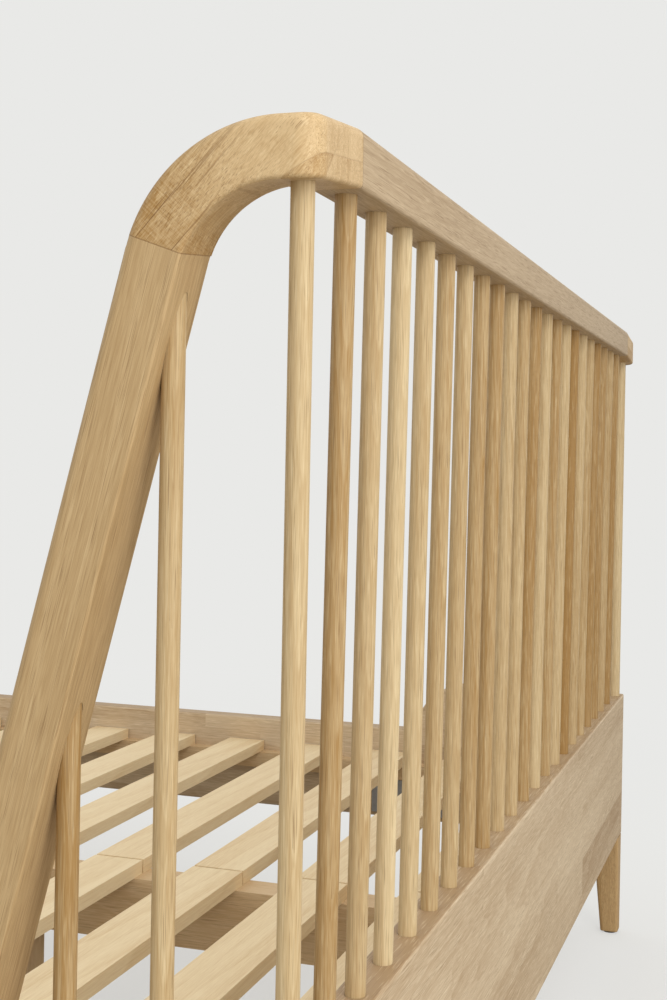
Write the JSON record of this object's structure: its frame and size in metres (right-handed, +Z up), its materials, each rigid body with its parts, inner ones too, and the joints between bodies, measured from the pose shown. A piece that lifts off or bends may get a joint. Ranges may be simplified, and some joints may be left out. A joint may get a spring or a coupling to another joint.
{
  "type": "spindle bed",
  "caption": "Solid oak double bed with a spindle headboard whose top rail bends forward at both ends into raking wing arms",
  "frame": {"origin": "on the floor under the middle of the bed", "axes": "+Z up, +Y towards the headboard, X across the bed"},
  "size_m": [1.71, 2.086, 1.044],
  "materials": {
    "oak": "matte",
    "oak_spindle": "matte",
    "pine_slat": "matte",
    "steel": "satin",
    "glide": "matte"
  },
  "bodies": {
    "bed": {"arm_left": "oak", "arm_right": "oak", "beam_rests": "oak", "bottom_rail": "oak", "centre_beam": "oak", "centre_support_foot": "oak", "centre_support_head": "oak", "corner_block_left": "oak", "corner_block_right": "oak", "floor_glides": "glide", "foot_post_left": "oak", "foot_post_right": "oak", "foot_rail": "oak", "head_post_left": "oak", "head_post_right": "oak", "joining_plates": "steel", "ledger_left": "oak", "ledger_right": "oak", "leg_foot_left": "oak", "leg_foot_right": "oak", "leg_head_left": "oak", "leg_head_right": "oak", "plate_screws": "steel", "post_bolts": "steel", "side_cheek_left": "oak", "side_cheek_right": "oak", "side_rail_left": "oak", "side_rail_right": "oak", "slats_left": "pine_slat", "slats_right": "pine_slat", "spindle_01": "oak_spindle", "spindle_02": "oak_spindle", "spindle_03": "oak_spindle", "spindle_04": "oak_spindle", "spindle_05": "oak_spindle", "spindle_06": "oak_spindle", "spindle_07": "oak_spindle", "spindle_08": "oak_spindle", "spindle_09": "oak_spindle", "spindle_10": "oak_spindle", "spindle_11": "oak_spindle", "spindle_12": "oak_spindle", "spindle_13": "oak_spindle", "spindle_14": "oak_spindle", "spindle_15": "oak_spindle", "spindle_16": "oak_spindle", "spindle_17": "oak_spindle", "spindle_18": "oak_spindle", "spindle_19": "oak_spindle", "spindle_20": "oak_spindle", "spindle_21": "oak_spindle", "spindle_corner_left": "oak_spindle", "spindle_corner_right": "oak_spindle", "spindle_wing_front_left": "oak_spindle", "spindle_wing_front_right": "oak_spindle", "spindle_wing_rear_left": "oak_spindle", "spindle_wing_rear_right": "oak_spindle", "top_rail": "oak"},
    "head_levelling_foot": {"levelling_foot_head": "steel"},
    "foot_levelling_foot": {"levelling_foot_foot": "steel"}
  },
  "joints": [
    {"name": "head_foot_height", "type": "slide", "parent": "bed", "child": "head_levelling_foot", "axis": [0, 0, 1], "range_m": [0, 0.012]},
    {"name": "foot_foot_height", "type": "slide", "parent": "bed", "child": "foot_levelling_foot", "axis": [0, 0, 1], "range_m": [0, 0.012]}
  ]
}
